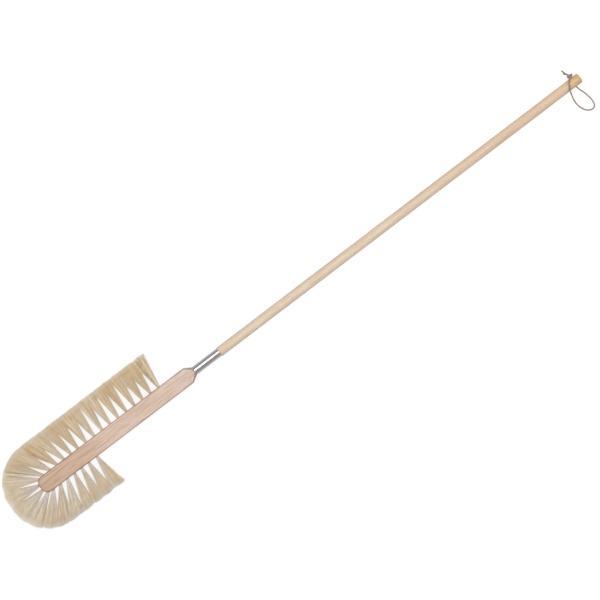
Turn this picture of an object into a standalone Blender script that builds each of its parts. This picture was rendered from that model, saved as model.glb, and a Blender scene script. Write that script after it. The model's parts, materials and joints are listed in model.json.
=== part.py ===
"""Cobweb brush: a flat beech head block with bristle tufts round three sides, a metal sleeve, a long round
handle and a leather hanging thong.

Metres. The brush lies on the plane z = 0: +X runs along the handle to its free end, +Y points to the long
row of bristles and +Z points up. The origin is under the middle of the head block.
"""

import math

import bmesh
import bpy
from mathutils import Matrix, Vector

# Head block
BLOCK_LENGTH = 0.343  # from the rounded tip to the small end of the neck
BLOCK_WIDTH = 0.032
BLOCK_THICKNESS = 0.018
TIP_CORNER_RADIUS = 0.0133
BLOCK_EDGE_RADIUS = 0.003
NECK_LENGTH = 0.0135  # the cone, measured where it leaves the sides of the block

# Sleeve
SLEEVE_LENGTH = 0.0555
SLEEVE_DIAMETER = 0.016
SLEEVE_WALL = 0.0008
SLEEVE_CHAMFER = 0.00025

# Handle
HANDLE_LENGTH = 0.805  # the stretch outside the sleeve
HANDLE_DIAMETER = 0.018
HANDLE_SHOULDER_CHAMFER = 0.0007
HANDLE_END_RADIUS = 0.0026
HANDLE_END_DOME = 0.0007
TENON_LENGTH = 0.022  # of the block and of the handle, inside the sleeve
TENON_CHAMFER = 0.0008

# Cross hole and thong
THONG_DIAMETER = 0.0026
THONG_HOLE_DIAMETER = 0.0037
THONG_HOLE_FROM_END = 0.0155
THONG_HOLE_SURROUND = 0.0045  # each side of the hole's middle, where the handle has an extra ring

# Bristle tufts
LONG_SIDE_TUFTS = 16
SHORT_SIDE_TUFTS = 7
BRISTLE_LENGTH = 0.065  # from the edge of the block to the trimmed outline
TUFT_START = 0.0165  # from the tip of the block to the first tuft of each side
CLOSE_PITCH = 0.0157
WIDE_PITCH = 0.018
CLOSE_PITCHES = 5  # how many pitches from the tip are close ones
TUFT_HOLE_DIAMETER = 0.0054
TUFT_HOLE_DEPTH = 0.009
TUFT_PROUD = 0.0008  # how far the bound root of a tuft stands out of its hole
FREE_EDGE_OUTSET = 0.003  # from the middle of the last tuft of a side to its free edge, at the block
BRISTLE_RISE = 0.0085  # from the middle plane up to the top layer, at the bristle ends
REST_CLEARANCE = 0.0004  # between the lowest bristles and the surface that the brush lies on

# Strands that stand for the hair of a tuft
STRAND_WIDTH = 0.003
STRAND_ROOT_WIDTH = 0.00072
STRAND_ROOT_DEPTH = 0.001  # how far a strand reaches into the bound root

# Wire anchors
ANCHOR_LENGTH = 0.007  # across the hole, along the block's thickness
ANCHOR_WIDTH = 0.002
ANCHOR_THICKNESS = 0.0005
FOLD_THICKNESS = 0.0014  # of the hair that passes under the anchor

FIT_GAP = 0.0003
CUT_OVERRUN = 0.004
MERGE_DISTANCE = 0.00002

# Angles in degrees. A lean is measured from square to the block's long edge, towards the tip.
SIDE_LEANS = (42, 30, 20.5, 13, 8.5, 4.5, 1.5)
TIP_CORNER_LEAN = 57
TIP_FRONT_LEAN = 79
TIP_CORNER_PLACE = 58  # on the corner arc, from the front of the tip
TIP_FRONT_PLACE = 10
FREE_EDGE_LEAN = 10.4

# How far up the bristles each gap between two tufts stays open, from gap 1 at the handle end of the
# long side round the tip to the handle end of the short side.
GAP_HEIGHT_SHARES = (
    0.50, 0.42, 0.49, 0.71, 0.53, 0.70, 0.49, 0.71, 0.49, 0.54, 0.52, 0.54, 0.43,
    0.37, 0.43, 0.47, 0.46, 0.60, 0.27, 0.55, 0.38, 0.44, 0.60, 0.51, 0.47, 0.53,
)
# Places of the strands across a tuft, as shares of its width, in a full layer and in the layers
# above and below it. The first and last strands of a layer bend where the gaps beside them close,
# and the others run straight.
FULL_LAYER_SHARES = (0.1, 0.3, 0.5, 0.7, 0.9)
SIDE_LAYER_SHARES = (0.2, 0.4, 0.6, 0.8)
STRAIGHT_SHARES = (0.3, 0.4, 0.5, 0.6, 0.7)
ROOT_SPREAD_SHARE = 0.94  # the strands' spread at the root, in diameters of the bound root
ROOT_LAYER_SHARE = 0.56  # the outer layers' height at the root, in radii of the bound root

TURNED_SIDES = 32
SLEEVE_SIDES = 40
HOLE_SIDES = 12
ROOT_SIDES = 10
CORNER_STEPS = 8
BEVEL_SEGMENTS = 3

# Route of the thong from the middle of the cross hole: from the knot through the hole, down to the
# resting surface, round the loop and back over the handle to the knot.
THONG_ROUTE = (
    (0.0, 0.0095, 0.0),
    (0.0, 0.0045, 0.0),
    (0.0, -0.0045, 0.0),
    (0.0, -0.0093, 0.0),
    (0.0006, -0.0130, -0.0004),
    (0.0019, -0.0175, -0.0018),
    (0.0053, -0.0271, -0.0056),
    (0.0074, -0.0364, -0.0074),
    (0.0082, -0.0430, -0.0075),
    (0.0078, -0.0494, -0.0075),
    (0.0056, -0.0556, -0.0075),
    (-0.0005, -0.0581, -0.0075),
    (-0.0062, -0.0563, -0.0075),
    (-0.0117, -0.0515, -0.0075),
    (-0.0157, -0.0440, -0.0075),
    (-0.0177, -0.0357, -0.0071),
    (-0.0180, -0.0290, -0.0051),
    (-0.0172, -0.0223, -0.0012),
    (-0.0152, -0.0138, 0.0047),
    (-0.0133, -0.0079, 0.0083),
    (-0.0115, -0.0040, 0.0102),
    (-0.0094, 0.0000, 0.0108),
    (-0.0070, 0.0036, 0.0102),
    (-0.0048, 0.0063, 0.0089),
    (-0.0025, 0.0088, 0.0061),
)
THONG_POINTS = 41

# Knot, from the middle of the cross hole. Its two turns lie round the two ends of the thong.
KNOT_PLACE = (0.0009, 0.0125, 0.0028)
KNOT_TILT = 10  # degrees, with its outer end up
KNOT_LENGTH = 0.0056
KNOT_TURNS = 2
LONG_TAIL_ROUTE = (
    (0.0009, 0.0127, 0.0037),
    (0.0001, 0.0160, 0.0045),
    (-0.0016, 0.0203, 0.0043),
    (-0.0032, 0.0247, 0.0033),
    (-0.0043, 0.0290, 0.0018),
)
SHORT_TAIL_ROUTE = (
    (0.0014, 0.0123, 0.0013),
    (0.0004, 0.0157, 0.0015),
    (-0.0022, 0.0194, 0.0011),
    (-0.0052, 0.0232, 0.0003),
)
TAIL_POINTS = 8

AXIS_HEIGHT = BLOCK_THICKNESS / 2
TIP_X = -BLOCK_LENGTH / 2
NECK_X = BLOCK_LENGTH / 2
SHOULDER_X = NECK_X + SLEEVE_LENGTH
HANDLE_END_X = SHOULDER_X + HANDLE_LENGTH
THONG_HOLE_X = HANDLE_END_X - THONG_HOLE_FROM_END
TENON_RADIUS = SLEEVE_DIAMETER / 2 - SLEEVE_WALL - FIT_GAP
CORNER_RADIUS = min(TIP_CORNER_RADIUS, BLOCK_WIDTH / 2)
CORNER_X = TIP_X + CORNER_RADIUS
CORNER_Y = BLOCK_WIDTH / 2 - CORNER_RADIUS
ROOT_RADIUS = TUFT_HOLE_DIAMETER / 2 - FIT_GAP
ROOT_END = TUFT_HOLE_DEPTH - FIT_GAP
ANCHOR_PLACE = ROOT_END - FOLD_THICKNESS - FIT_GAP - ANCHOR_WIDTH / 2
BRISTLE_DROP = AXIS_HEIGHT - STRAND_WIDTH / 2 - REST_CLEARANCE


def clear_scene():
    for obj in list(bpy.data.objects):
        bpy.data.objects.remove(obj, do_unlink=True)


def new_collection(name):
    collection = bpy.data.collections.new(name)
    bpy.context.scene.collection.children.link(collection)
    return collection


def new_material(name, colour, roughness, metallic=0.0):
    material = bpy.data.materials.new(name)
    material.use_nodes = True
    shader = material.node_tree.nodes["Principled BSDF"]
    shader.inputs["Base Color"].default_value = (*colour, 1.0)
    shader.inputs["Roughness"].default_value = roughness
    shader.inputs["Metallic"].default_value = metallic
    return material


def new_empty(name, location, collection, parent=None):
    empty = bpy.data.objects.new(name, None)
    collection.objects.link(empty)
    empty.location = location
    empty.parent = parent
    return empty


def add_part(name, mesh, parent, material):
    obj = bpy.data.objects.new(name, mesh)
    PARTS.objects.link(obj)
    obj.parent = parent
    mesh.materials.append(material)
    if mesh.polygons:
        mesh.shade_smooth()
        mesh.set_sharp_from_angle(angle=math.radians(30))
    return obj


def add_cutter(name, mesh, parent, collection):
    obj = bpy.data.objects.new(name, mesh)
    collection.objects.link(obj)
    obj.parent = parent
    obj.hide_render = True
    obj.display_type = "WIRE"
    return obj


def boolean(obj, name, operation, operand):
    """Adds an exact Boolean with an object or with all the objects of a collection."""
    modifier = obj.modifiers.new(name, "BOOLEAN")
    modifier.operation = operation
    modifier.solver = "EXACT"
    if isinstance(operand, bpy.types.Collection):
        modifier.operand_type = "COLLECTION"
        modifier.collection = operand
    else:
        modifier.object = operand


def mesh_of(shape, name):
    mesh = bpy.data.meshes.new(name)
    shape.to_mesh(mesh)
    shape.free()
    return mesh


def rod_mesh(name, radius, start, end, sides):
    """A round rod along local X."""
    shape = bmesh.new()
    place = Matrix.Translation(((start + end) / 2, 0, 0)) @ Matrix.Rotation(math.pi / 2, 4, "Y")
    bmesh.ops.create_cone(
        shape,
        cap_ends=True,
        segments=sides,
        radius1=radius,
        radius2=radius,
        depth=end - start,
        matrix=place,
    )
    return mesh_of(shape, name)


def box_mesh(name, size, centre):
    shape = bmesh.new()
    place = Matrix.Translation(centre) @ Matrix.Diagonal((*size, 1))
    bmesh.ops.create_cube(shape, size=1, matrix=place)
    return mesh_of(shape, name)


def plate_mesh(name, outline, thickness):
    """A flat plate with its middle plane at z = 0. Its outline of (x, y) is listed anticlockwise."""
    shape = bmesh.new()
    low = [shape.verts.new((*point, -thickness / 2)) for point in outline]
    high = [shape.verts.new((*point, thickness / 2)) for point in outline]
    shape.faces.new(low[::-1])
    shape.faces.new(high)
    for index in range(len(outline)):
        shape.faces.new((low[index - 1], low[index], high[index], high[index - 1]))
    return mesh_of(shape, name)


def turned_mesh(name, profile, closed=False):
    """The edges of a profile of (place along X, radius), listed from its +X end down to its other end."""
    shape = bmesh.new()
    points = [shape.verts.new((radius, 0, along)) for along, radius in profile]
    pairs = list(zip(points, points[1:]))
    if closed:
        pairs.append((points[-1], points[0]))
    for pair in pairs:
        shape.edges.new(pair)
    return mesh_of(shape, name)


def turn(obj, sides):
    """Turns a profile about the X axis of the brush."""
    obj.rotation_euler = (0, math.pi / 2, 0)
    screw = obj.modifiers.new("turned", "SCREW")
    screw.steps = screw.render_steps = sides
    screw.use_merge_vertices = True
    screw.merge_threshold = MERGE_DISTANCE
    screw.use_smooth_shade = True


def new_curve(name, width, resolution):
    curve = bpy.data.curves.new(name, "CURVE")
    curve.dimensions = "3D"
    curve.bevel_depth = width / 2
    curve.bevel_resolution = resolution
    curve.use_fill_caps = True
    curve.twist_mode = "Z_UP"
    return curve


def add_line(curve, points, widths=None):
    """A run of straight stretches, with its width at each point as a share of the curve's own."""
    line = curve.splines.new("POLY")
    line.points.add(len(points) - 1)
    for place, point in zip(line.points, points):
        place.co = (*point, 1)
    for place, width in zip(line.points, widths or ()):
        place.radius = width


def solid_from_curve(curve):
    """The curve's own closed mesh, with its caps welded on."""
    guide = bpy.data.objects.new(curve.name, curve)
    bpy.context.scene.collection.objects.link(guide)
    graph = bpy.context.evaluated_depsgraph_get()
    mesh = bpy.data.meshes.new_from_object(guide.evaluated_get(graph))
    bpy.data.objects.remove(guide)
    shape = bmesh.new()
    shape.from_mesh(mesh)
    bmesh.ops.remove_doubles(shape, verts=shape.verts, dist=MERGE_DISTANCE)
    bmesh.ops.recalc_face_normals(shape, faces=shape.faces)
    shape.to_mesh(mesh)
    shape.free()
    return mesh


def smooth_route(route, count):
    """Evenly spaced points on a smooth curve through the points of a route."""
    knots = [Vector(point) for point in route]
    ends = [2 * knots[0] - knots[1]] + knots + [2 * knots[-1] - knots[-2]]
    steps = 16
    fine = [knots[0]]
    for before, start, end, after in zip(ends, ends[1:], ends[2:], ends[3:]):
        for step in range(1, steps + 1):
            t = step / steps
            fine.append(
                (
                    2 * start
                    + (end - before) * t
                    + (2 * before - 5 * start + 4 * end - after) * t**2
                    + (3 * start - before - 3 * end + after) * t**3
                )
                / 2
            )
    travelled = [0.0]
    for one, other in zip(fine, fine[1:]):
        travelled.append(travelled[-1] + (other - one).length)
    points, place = [], 0
    for index in range(count):
        target = travelled[-1] * index / (count - 1)
        while place < len(fine) - 2 and travelled[place + 1] < target:
            place += 1
        share = (target - travelled[place]) / (travelled[place + 1] - travelled[place])
        points.append(fine[place].lerp(fine[place + 1], min(max(share, 0), 1)))
    return points


def arc(centre, radius, start, end, steps):
    """Points on an arc, with angles in degrees from +X towards +Y."""
    angles = [math.radians(start + (end - start) * step / steps) for step in range(steps + 1)]
    return [(centre[0] + radius * math.cos(a), centre[1] + radius * math.sin(a)) for a in angles]


def side_tuft(number, side):
    """Base point and direction of a tuft on a long edge, counted from the tip. The side is 1 or -1."""
    close = min(number, CLOSE_PITCHES)
    distance = TUFT_START + CLOSE_PITCH * close + WIDE_PITCH * (number - close)
    lean = math.radians(SIDE_LEANS[number]) if number < len(SIDE_LEANS) else 0
    base = Vector((TIP_X + distance, side * BLOCK_WIDTH / 2, 0))
    return base, Vector((-math.sin(lean), side * math.cos(lean), 0))


def tip_tuft(place, lean, side):
    """Base point and direction of a tuft on the rounded tip."""
    place, lean = math.radians(place), math.radians(lean)
    base = Vector(
        (CORNER_X - CORNER_RADIUS * math.cos(place), side * (CORNER_Y + CORNER_RADIUS * math.sin(place)), 0)
    )
    return base, Vector((-math.sin(lean), side * math.cos(lean), 0))


def all_tufts():
    """Every tuft in order, from the handle end of the long side round the tip to the short side."""
    return [
        *(side_tuft(number, 1) for number in reversed(range(LONG_SIDE_TUFTS))),
        tip_tuft(TIP_CORNER_PLACE, TIP_CORNER_LEAN, 1),
        tip_tuft(TIP_FRONT_PLACE, TIP_FRONT_LEAN, 1),
        tip_tuft(TIP_FRONT_PLACE, TIP_FRONT_LEAN, -1),
        tip_tuft(TIP_CORNER_PLACE, TIP_CORNER_LEAN, -1),
        *(side_tuft(number, -1) for number in range(SHORT_SIDE_TUFTS)),
    ]


def trimmed(point, direction):
    """Where a line from a point meets the outline that the bristles are trimmed to, BRISTLE_LENGTH
    outside the block's own outline."""
    side = 1 if point.y + direction.y * BRISTLE_LENGTH >= 0 else -1
    if abs(direction.y) > 0:
        reach = (BLOCK_WIDTH / 2 + BRISTLE_LENGTH - side * point.y) / (side * direction.y)
        if reach > 0 and point.x + reach * direction.x >= CORNER_X:
            return point + reach * direction
    centre = Vector((CORNER_X, side * CORNER_Y, 0))
    start = point - centre
    start.z = 0
    along = start.dot(direction)
    radius = CORNER_RADIUS + BRISTLE_LENGTH
    reach = -along + math.sqrt(along**2 + radius**2 - start.length_squared)
    return point + reach * direction


def gap_lines(tufts):
    """The line from root to tip along which neighbouring tufts meet, with a free edge before and after
    all of them."""
    lines = []
    for (base, direction), (next_base, next_direction) in zip(tufts, tufts[1:]):
        root = (base + next_base) / 2
        aim = (trimmed(base, direction) + trimmed(next_base, next_direction)) / 2
        lines.append((root, trimmed(root, (aim - root).normalized())))
    lean = math.radians(FREE_EDGE_LEAN)
    for (base, direction), place in ((tufts[0], 0), (tufts[-1], len(lines) + 1)):
        root = base + Vector((FREE_EDGE_OUTSET, 0, 0))
        outward = Vector((math.sin(lean), math.copysign(math.cos(lean), direction.y), 0))
        lines.insert(place, (root, trimmed(root, outward)))
    return lines


def strand_points(base, direction, gaps, heights, share, root_height, tip_height):
    """Points of one strand. The share is its place across the tuft. It bends at the height where the
    gap on its side of the tuft closes, or runs straight."""
    (root_a, tip_a), (root_b, tip_b) = gaps
    across = Vector((direction.y, -direction.x, 0))
    if across.dot(root_b - root_a) < 0:
        across = -across
    up = Vector((0, 0, 1))
    root = base + across * (share - 0.5) * 2 * ROOT_RADIUS * ROOT_SPREAD_SHARE + up * root_height
    start = root + direction * (TUFT_PROUD - STRAND_ROOT_DEPTH)
    aim = tip_a.lerp(tip_b, share)
    height = heights[0] if share < 0.5 else heights[1]
    if share in STRAIGHT_SHARES or height is None:
        flat_start = Vector((start.x, start.y, 0))
        end = trimmed(flat_start, (aim - flat_start).normalized())
        return [start, end + up * tip_height]
    bend = root_a.lerp(tip_a, height).lerp(root_b.lerp(tip_b, height), share)
    end = trimmed(bend, (aim - bend).normalized())
    return [start, bend + up * (root_height + (tip_height - root_height) * height), end + up * tip_height]


def build_tuft(number, tuft, gaps, heights):
    """One tuft of hair with its root in the block's hole, and the wire anchor that holds it."""
    base, direction = tuft
    heading = math.atan2(direction.y, direction.x)
    label = f"{number:02d}"

    strands = new_curve(f"strands_{label}", STRAND_WIDTH, 0)
    root_layer = ROOT_RADIUS * ROOT_LAYER_SHARE
    layers = (
        (SIDE_LAYER_SHARES, -root_layer, -BRISTLE_DROP),
        (FULL_LAYER_SHARES, 0, 0),
        (SIDE_LAYER_SHARES, root_layer, BRISTLE_RISE),
    )
    root_share = STRAND_ROOT_WIDTH / STRAND_WIDTH
    for shares, root_height, tip_height in layers:
        for share in shares:
            points = strand_points(base, direction, gaps, heights, share, root_height, tip_height)
            add_line(strands, points, (root_share, *(1 for _ in points[1:])))
    hair = add_cutter(f"strands_{label}", solid_from_curve(strands), BRUSH, UNION_SHAPES)

    seat_size = [size + 2 * FIT_GAP for size in (ANCHOR_WIDTH, ANCHOR_THICKNESS, ANCHOR_LENGTH)]
    anchor_size = (ANCHOR_WIDTH, ANCHOR_THICKNESS, ANCHOR_LENGTH)
    place = (-ANCHOR_PLACE, 0, 0)
    hole = rod_mesh(f"tuft_hole_{label}", TUFT_HOLE_DIAMETER / 2, -TUFT_HOLE_DEPTH, CUT_OVERRUN, HOLE_SIDES)
    seat = box_mesh(f"anchor_seat_{label}", seat_size, place)
    root = rod_mesh(f"bristle_tuft_{label}", ROOT_RADIUS, -ROOT_END, TUFT_PROUD, ROOT_SIDES)
    anchor = box_mesh(f"wire_anchor_{label}", anchor_size, place)

    hole_cutter = add_cutter(hole.name, hole, BRUSH, TUFT_HOLES)
    seat_cutter = add_cutter(seat.name, seat, BRUSH, ANCHOR_SEATS)
    tuft_part = add_part(root.name, root, BRUSH, BRISTLE)
    anchor_part = add_part(anchor.name, anchor, BRUSH, WIRE)
    for obj in (hole_cutter, seat_cutter, tuft_part, anchor_part):
        obj.location = base
        obj.rotation_euler = (0, 0, heading)
    boolean(tuft_part, "anchor slot", "DIFFERENCE", seat_cutter)
    boolean(tuft_part, "hair", "UNION", hair)


def build_tufts():
    tufts = all_tufts()
    lines = gap_lines(tufts)
    heights = (None, *GAP_HEIGHT_SHARES[: len(tufts) - 1], None)
    for index, tuft in enumerate(tufts):
        build_tuft(index + 1, tuft, lines[index : index + 2], heights[index : index + 2])


def build_block():
    """The bar with its rounded tip, cut to a turned neck and tenon, and drilled for the tufts."""
    plate_end = NECK_X + TENON_LENGTH + CUT_OVERRUN
    half = BLOCK_WIDTH / 2
    outline = [
        (plate_end, half),
        *arc((CORNER_X, CORNER_Y), CORNER_RADIUS, 90, 180, CORNER_STEPS),
        *arc((CORNER_X, -CORNER_Y), CORNER_RADIUS, 180, 270, CORNER_STEPS),
        (plate_end, -half),
    ]
    block = add_part("head_block", plate_mesh("head_block", outline, BLOCK_THICKNESS), BRUSH, BEECH)

    edges = block.modifiers.new("rounded edges", "BEVEL")
    edges.width = BLOCK_EDGE_RADIUS
    edges.segments = BEVEL_SEGMENTS
    edges.limit_method = "ANGLE"
    edges.angle_limit = math.radians(60)

    neck_radius = SLEEVE_DIAMETER / 2
    slope = (half - neck_radius) / NECK_LENGTH
    full_radius = math.hypot(half, BLOCK_THICKNESS / 2) + CUT_OVERRUN
    tenon_end = NECK_X + TENON_LENGTH
    profile = [
        (tenon_end, 0),
        (tenon_end, TENON_RADIUS - TENON_CHAMFER),
        (tenon_end - TENON_CHAMFER, TENON_RADIUS),
        (NECK_X, TENON_RADIUS),
        (NECK_X, neck_radius),
        (NECK_X - (full_radius - neck_radius) / slope, full_radius),
        (TIP_X - CUT_OVERRUN, full_radius),
        (TIP_X - CUT_OVERRUN, 0),
    ]
    neck = add_cutter("neck_turning", turned_mesh("neck_turning", profile), BRUSH, UNION_SHAPES)
    turn(neck, TURNED_SIDES)
    boolean(block, "turned neck", "INTERSECT", neck)
    boolean(block, "tuft holes", "DIFFERENCE", TUFT_HOLES)
    boolean(block, "anchor seats", "DIFFERENCE", ANCHOR_SEATS)


def build_sleeve():
    outer = SLEEVE_DIAMETER / 2
    inner = outer - SLEEVE_WALL
    start, end = NECK_X + FIT_GAP, SHOULDER_X - FIT_GAP
    profile = [
        (end, inner),
        (end, outer - SLEEVE_CHAMFER),
        (end - SLEEVE_CHAMFER, outer),
        (start + SLEEVE_CHAMFER, outer),
        (start, outer - SLEEVE_CHAMFER),
        (start, inner),
    ]
    sleeve = add_part("joining_sleeve", turned_mesh("joining_sleeve", profile, closed=True), BRUSH, STEEL)
    turn(sleeve, SLEEVE_SIDES)


def build_handle():
    radius = HANDLE_DIAMETER / 2
    round_x = HANDLE_END_X - HANDLE_END_DOME - HANDLE_END_RADIUS
    end_round = arc((round_x, radius - HANDLE_END_RADIUS), HANDLE_END_RADIUS, 0, 90, CORNER_STEPS // 2)
    tenon_end = SHOULDER_X - TENON_LENGTH
    profile = [
        (HANDLE_END_X, 0),
        *end_round,
        (THONG_HOLE_X + THONG_HOLE_SURROUND, radius),
        (THONG_HOLE_X - THONG_HOLE_SURROUND, radius),
        (SHOULDER_X + HANDLE_SHOULDER_CHAMFER, radius),
        (SHOULDER_X, radius - HANDLE_SHOULDER_CHAMFER),
        (SHOULDER_X, TENON_RADIUS),
        (tenon_end + TENON_CHAMFER, TENON_RADIUS),
        (tenon_end, TENON_RADIUS - TENON_CHAMFER),
        (tenon_end, 0),
    ]
    handle = add_part("handle", turned_mesh("handle", profile), BRUSH, PALE_BEECH)
    turn(handle, TURNED_SIDES)

    reach = HANDLE_DIAMETER / 2 + CUT_OVERRUN
    hole = rod_mesh("thong_hole", THONG_HOLE_DIAMETER / 2, -reach, reach, HOLE_SIDES)
    cutter = add_cutter("thong_hole", hole, LOOP_HINGE, UNION_SHAPES)
    cutter.rotation_euler = (0, 0, math.pi / 2)
    boolean(handle, "thong hole", "DIFFERENCE", cutter)


def build_thong():
    thong = new_curve("hanging_thong", THONG_DIAMETER, 2)
    add_line(thong, smooth_route(THONG_ROUTE, THONG_POINTS))
    add_part("hanging_thong", solid_from_curve(thong), LOOP_HINGE, LEATHER)


def build_knot():
    """Two turns of the thong round its own ends, with the two tails coming out of them."""
    turn_pitch = KNOT_LENGTH / KNOT_TURNS
    turn_radius = turn_pitch / 2
    ring_radius = THONG_DIAMETER + turn_radius
    profile = [(KNOT_LENGTH / 2, 0)]
    for number in range(KNOT_TURNS):
        middle = KNOT_LENGTH / 2 - turn_radius - turn_pitch * number
        profile += arc((middle, ring_radius), turn_radius, 0, 180, CORNER_STEPS)[number > 0 :]
    profile.append((-KNOT_LENGTH / 2, 0))

    knot = add_part("thong_knot", turned_mesh("thong_knot", profile), LOOP_HINGE, LEATHER)
    turn(knot, TURNED_SIDES // 2)
    knot.location = KNOT_PLACE
    tilt = math.radians(KNOT_TILT)
    outward = Vector((0, math.cos(tilt), math.sin(tilt)))
    knot.rotation_euler = outward.to_track_quat("Z", "Y").to_euler()
    for name, route in (("long_tail", LONG_TAIL_ROUTE), ("short_tail", SHORT_TAIL_ROUTE)):
        tail = new_curve(name, THONG_DIAMETER, 2)
        add_line(tail, smooth_route(route, TAIL_POINTS))
        tail_shape = add_cutter(name, solid_from_curve(tail), LOOP_HINGE, UNION_SHAPES)
        boolean(knot, name, "UNION", tail_shape)


clear_scene()
PARTS = new_collection("cobweb_brush")
UNION_SHAPES = new_collection("shapes_cut_or_joined")
TUFT_HOLES = new_collection("tuft_holes")
ANCHOR_SEATS = new_collection("anchor_seats")

BEECH = new_material("beech_block", (0.66, 0.50, 0.39), 0.55)
PALE_BEECH = new_material("pale_handle", (0.80, 0.63, 0.40), 0.5)
BRISTLE = new_material("natural_bristle", (0.66, 0.52, 0.35), 0.7)
STEEL = new_material("polished_sleeve", (0.75, 0.75, 0.74), 0.18, 1.0)
WIRE = new_material("anchor_wire", (0.62, 0.62, 0.60), 0.4, 1.0)
LEATHER = new_material("leather_thong", (0.38, 0.25, 0.17), 0.65)

BRUSH = new_empty("brush_axis", (0, 0, AXIS_HEIGHT), PARTS)
LOOP_HINGE = new_empty("loop_hinge", (THONG_HOLE_X, 0, 0), PARTS, BRUSH)

build_tufts()
build_block()
build_sleeve()
build_handle()
build_thong()
build_knot()
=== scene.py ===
"""Looks of the cobweb brush: hair, turned and planed wood, a polished sleeve and a leather thong.

Metres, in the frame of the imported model: +X runs along the handle to its free end, +Y points to
the long row of bristles and the brush lies on z = 0. Named colours are sRGB, from 0 to 255.
"""

import json
import math

import bmesh
import bpy
import numpy as np
from mathutils import Matrix, Vector

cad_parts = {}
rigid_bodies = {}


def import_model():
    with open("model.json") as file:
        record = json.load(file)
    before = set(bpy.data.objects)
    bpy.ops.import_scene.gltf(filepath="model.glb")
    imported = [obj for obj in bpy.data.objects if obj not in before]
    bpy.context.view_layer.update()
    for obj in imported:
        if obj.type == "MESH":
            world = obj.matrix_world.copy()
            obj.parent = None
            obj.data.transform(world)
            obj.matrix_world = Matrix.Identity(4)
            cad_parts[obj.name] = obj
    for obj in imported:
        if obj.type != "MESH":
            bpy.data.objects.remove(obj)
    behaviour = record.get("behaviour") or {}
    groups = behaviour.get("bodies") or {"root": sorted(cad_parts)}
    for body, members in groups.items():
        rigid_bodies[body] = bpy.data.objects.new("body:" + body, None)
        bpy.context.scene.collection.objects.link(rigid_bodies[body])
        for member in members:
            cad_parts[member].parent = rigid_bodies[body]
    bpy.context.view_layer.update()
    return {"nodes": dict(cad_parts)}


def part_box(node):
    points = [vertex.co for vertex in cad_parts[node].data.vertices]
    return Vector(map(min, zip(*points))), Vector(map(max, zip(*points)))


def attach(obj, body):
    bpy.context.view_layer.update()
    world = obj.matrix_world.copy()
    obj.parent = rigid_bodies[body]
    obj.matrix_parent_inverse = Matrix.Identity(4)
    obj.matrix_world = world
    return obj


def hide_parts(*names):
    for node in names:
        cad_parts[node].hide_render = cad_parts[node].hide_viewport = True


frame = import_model()

# Photograph, 600 by 600 pixels, taken from straight above
PHOTO_PIXELS = 600
PHOTO_METRES_PER_PIXEL = 0.001775
PHOTO_BLOCK_PIXEL = (117.6, 429.4)  # the middle of the head block
PHOTO_HANDLE_ANGLE = math.radians(37.29)  # from the right, anticlockwise
CAMERA_HEIGHT = 12.0

# Light and floor. A light's lean is its angle from straight above, and its heading the side that
# it stands on, from +X towards +Y.
STRIP_SIZE = (6.0, 1.05)
STRIP_X = 0.4  # of its middle
STRIP_DISTANCE = 2.2
STRIP_LEAN = 12
STRIP_WATTS = 57
END_LIGHTS = ((0.6, 45, -10, 40), (0.6, 45, 190, 40))  # strength, lean, heading, width in degrees
DOME_GREY = 0.34
FLOOR_SIZE = 30.0
FLOOR_DROP = 0.0036  # under the brush, so that it doesn't hide the side of the turned loop
FLOOR_GLOW = 0.88  # its own light towards the camera
FLOOR_MIRRORED_GLOW = 0.1  # its own light in reflections
FLOOR_SEEN_GREY = 0.14
FLOOR_MIRRORED_GREY = 0.42
FLOOR_UNSEEN_GREY = 0.78

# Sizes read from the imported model
BLOCK_LOW, BLOCK_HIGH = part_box("head_block")
SLEEVE_LOW, SLEEVE_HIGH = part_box("joining_sleeve")
HANDLE_LOW, HANDLE_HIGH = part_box("handle")
TIP_X = BLOCK_LOW.x
BLOCK_WIDTH = BLOCK_HIGH.y - BLOCK_LOW.y
BLOCK_THICKNESS = BLOCK_HIGH.z
AXIS_HEIGHT = BLOCK_THICKNESS / 2
FIT_GAP = 0.0003
NECK_X = SLEEVE_LOW.x - FIT_GAP
SHOULDER_X = SLEEVE_HIGH.x + FIT_GAP
SLEEVE_RADIUS = SLEEVE_HIGH.y
SLEEVE_WALL = 0.0008
TENON_RADIUS = SLEEVE_RADIUS - SLEEVE_WALL - FIT_GAP
HANDLE_RADIUS = HANDLE_HIGH.z - AXIS_HEIGHT
HANDLE_END_X = HANDLE_HIGH.x

# Head block
TIP_CORNER_RADIUS = 0.0133
BLOCK_EDGE_RADIUS = 0.003
BLOCK_EDGE_SEGMENTS = 6
BLOCK_EDGE_LIMIT = 60  # an edge is rounded where its faces turn by more degrees than this
NECK_LENGTH = 0.0135
NECK_ROUNDING_ARC = 60  # degrees of the small rounding at the sleeve
NECK_ROUNDING_STEPS = 4
TUFT_HOLE_RADIUS = 0.0027
TUFT_HOLE_DEPTH = 0.009
TUFT_CUTTER_OVERRUN = 0.004  # how far the cutter of a tuft hole sticks out of the wood
CORNER_X = TIP_X + TIP_CORNER_RADIUS
CORNER_Y = BLOCK_WIDTH / 2 - TIP_CORNER_RADIUS

# Handle
SHOULDER_CHAMFER = 0.0007
HANDLE_END_RADIUS = 0.0026
HANDLE_END_STEPS = 8
HANDLE_END_DOME = 0.0007
DOME_RING_DEPTH = HANDLE_END_DOME / 4  # a ring between the middle of the dome and its rim
DOME_RING_RADIUS = HANDLE_RADIUS / 2.6
TENON_CHAMFER = 0.0008
THONG_HOLE_X = HANDLE_END_X - 0.0155
THONG_HOLE_RADIUS = 0.00185
THONG_HOLE_SURROUND = 0.0045

# Sleeve
SLEEVE_LIP = SLEEVE_WALL * 0.6
SLEEVE_LIP_STEPS = 6

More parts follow.
